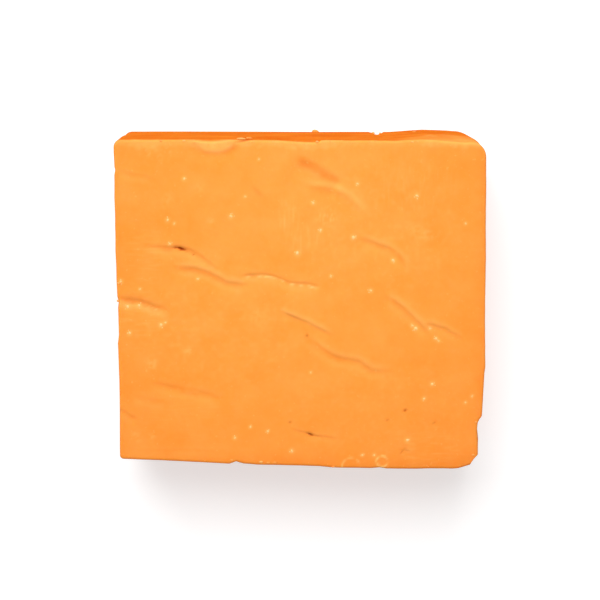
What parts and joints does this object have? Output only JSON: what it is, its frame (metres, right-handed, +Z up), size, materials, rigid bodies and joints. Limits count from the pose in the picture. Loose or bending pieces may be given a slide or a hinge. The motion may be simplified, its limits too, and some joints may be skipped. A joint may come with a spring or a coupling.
{
  "type": "cheddar block",
  "caption": "Block of orange cheddar cheese cut by wire, lying on its broad back, with curd seams pressed into the broad face and broken edges.",
  "frame": {"origin": "middle of the block's extents, on the underside that it rests on", "axes": "+X along the width of the broad face, to its right; +Y to its back edge; +Z up, out of the broad face"},
  "size_m": [0.1, 0.0889, 0.0435],
  "materials": {
    "cheddar": "satin"
  },
  "bodies": {
    "root": {"cheddar_block": "cheddar"}
  },
  "joints": []
}
